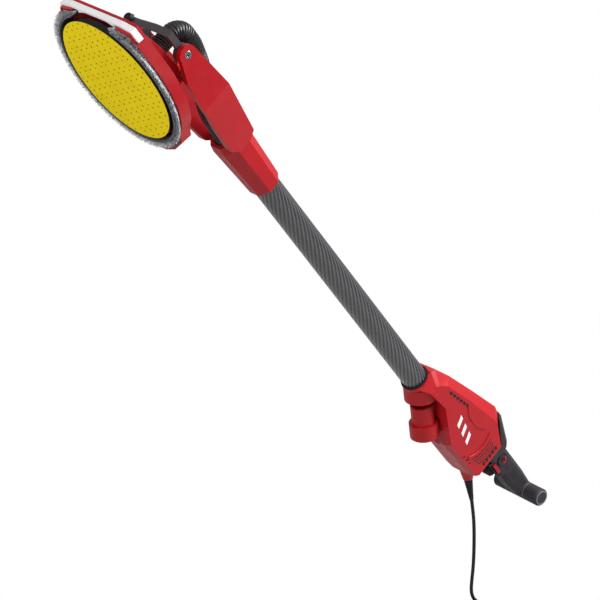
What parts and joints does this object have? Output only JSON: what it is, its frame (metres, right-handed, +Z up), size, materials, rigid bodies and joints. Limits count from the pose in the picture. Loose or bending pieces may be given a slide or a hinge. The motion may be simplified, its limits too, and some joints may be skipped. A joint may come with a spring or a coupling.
{
  "type": "pole drywall sander",
  "caption": "Long-reach wall and ceiling sander: motor housing with crosswise grip and dust port, carbon pole, forked gimbal, round abrasive pad in a brush-ringed hood.",
  "frame": {"origin": "centre of the crosswise rear hand grip", "axes": "+Z up, +Y along the hand grip towards the operator's left, pole rising towards +X and +Z at 53.6 degrees"},
  "size_m": [0.9828, 0.273, 1.5633],
  "materials": {
    "red_shell": "satin moulded plastic",
    "grip_plastic": "fine grain",
    "grip_rubber": "matte",
    "black_plastic": "matte",
    "carbon": "clear-coated woven fibre",
    "seal_rubber": "matte",
    "white_plastic": "satin",
    "bristle": "dense nylon bristle",
    "hose": "semi-gloss corrugated",
    "steel": "machined",
    "screw_steel": "bright",
    "strap_metal": "satin grey paint",
    "gear_case": "cast",
    "brass": "stamped",
    "board": "solder mask",
    "nylon": "moulded",
    "pad_plastic": "moulded",
    "foam": "cellular",
    "abrasive": "coated abrasive paper",
    "cord_rubber": "matte"
  },
  "bodies": {
    "handle_and_pole": {"motor_housing_left": "red_shell", "motor_housing_right": "red_shell", "dust_elbow": "red_shell", "fork": "red_shell", "t_handle_left": "grip_plastic", "t_handle_right": "grip_plastic", "rear_cap": "grip_plastic", "handle_end_caps": "grip_rubber", "switch_module": "black_plastic", "bearing_plates": "black_plastic", "hose_cuff": "black_plastic", "carbon_tube": "carbon", "entry_seal": "seal_rubber", "suction_hose": "hose", "motor_stator": "steel", "motor_bearings": "steel", "shaft_bearings": "steel", "flexible_shaft": "steel", "housing_screws": "screw_steel", "pivot_screws": "screw_steel", "brush_holders": "brass", "plug_pins": "brass", "control_board": "board", "bearing_spiders": "nylon", "strain_relief": "cord_rubber", "cord": "cord_rubber", "cord_tail": "cord_rubber", "plug_body": "cord_rubber", "cord_coil": "cord_rubber", "coil_tie": "cord_rubber"},
    "drive": {"motor_armature": "steel", "cooling_fan": "black_plastic", "shaft_coupling": "steel", "drive_shaft": "steel"},
    "gimbal": {"gimbal_ring": "strap_metal", "roll_pins": "steel", "front_roll_cap": "black_plastic", "rear_roll_bush": "black_plastic"},
    "head": {"shroud": "red_shell", "gear_dome": "red_shell", "roll_lugs": "red_shell", "hose_socket": "black_plastic", "brush_ring": "bristle", "brush_holder": "black_plastic", "gear_housing": "gear_case", "gear_bearings": "steel", "hose_tail": "hose", "flexible_shaft_tail": "steel"},
    "pad": {"spindle": "steel", "spindle_gear": "steel", "backing_pad": "pad_plastic", "foam_pad": "foam", "abrasive_disc": "abrasive"},
    "pinion": {"pinion_shaft": "steel"},
    "front_nose": {"front_segment": "white_plastic"},
    "trigger_body": {"trigger": "black_plastic"},
    "slider_body": {"lock_slider": "red_shell"},
    "dial_body": {"speed_dial": "red_shell"},
    "ring_body": {"port_ring": "red_shell"}
  },
  "joints": [
    {"name": "head_tilt", "type": "hinge", "parent": "handle_and_pole", "child": "gimbal", "pos_m": [0.82047, 0, 1.06736], "axis": [0, -1, 0], "range_deg": [-6, 42]},
    {"name": "head_roll", "type": "hinge", "parent": "gimbal", "child": "head", "pos_m": [0.83328, 0, 1.06662], "axis": [0.6532, 0, 0.7572], "range_deg": [-15, 15]},
    {"name": "pad_spin", "type": "hinge", "parent": "head", "child": "pad", "pos_m": [0.91188, 0, 1.03133], "axis": [0.9018, 0, -0.4321], "continuous": true},
    {"name": "pinion_spin", "type": "hinge", "parent": "head", "child": "pinion", "pos_m": [0.85901, 0, 1.0367], "axis": [0.9018, 0, -0.4321], "continuous": true},
    {"name": "drive_spin", "type": "hinge", "parent": "handle_and_pole", "child": "drive", "pos_m": [0.32327, 0, 0.38286], "axis": [0.5934, 0, 0.8049], "continuous": true},
    {"name": "nose_slide", "type": "slide", "parent": "head", "child": "front_nose", "axis": [0.4321, 0, 0.9018], "range_m": [0, 0.04]},
    {"name": "trigger_press", "type": "hinge", "parent": "handle_and_pole", "child": "trigger_body", "pos_m": [0.08528, 0, 0.0887], "axis": [0, -1, 0], "range_deg": [-7, 0], "stiffness_Nm_per_rad": 0.6, "springref_deg": 1.72},
    {"name": "lock_slide", "type": "slide", "parent": "handle_and_pole", "child": "slider_body", "axis": [0.5934, 0, 0.8049], "range_m": [0, 0.006]},
    {"name": "dial_turn", "type": "hinge", "parent": "handle_and_pole", "child": "dial_body", "pos_m": [0.06888, 0.018, 0.08837], "axis": [0, 1, 0], "range_deg": [0, 270]},
    {"name": "port_ring_turn", "type": "hinge", "parent": "handle_and_pole", "child": "ring_body", "pos_m": [0.24844, 0, 0.20923], "axis": [-0.1392, 0, -0.9903], "range_deg": [0, 30]}
  ],
  "couplings": [
    {"joint": "pinion_spin", "follows": "pad_spin", "ratio": -2.4286},
    {"joint": "drive_spin", "follows": "pad_spin", "ratio": 2.4286}
  ]
}
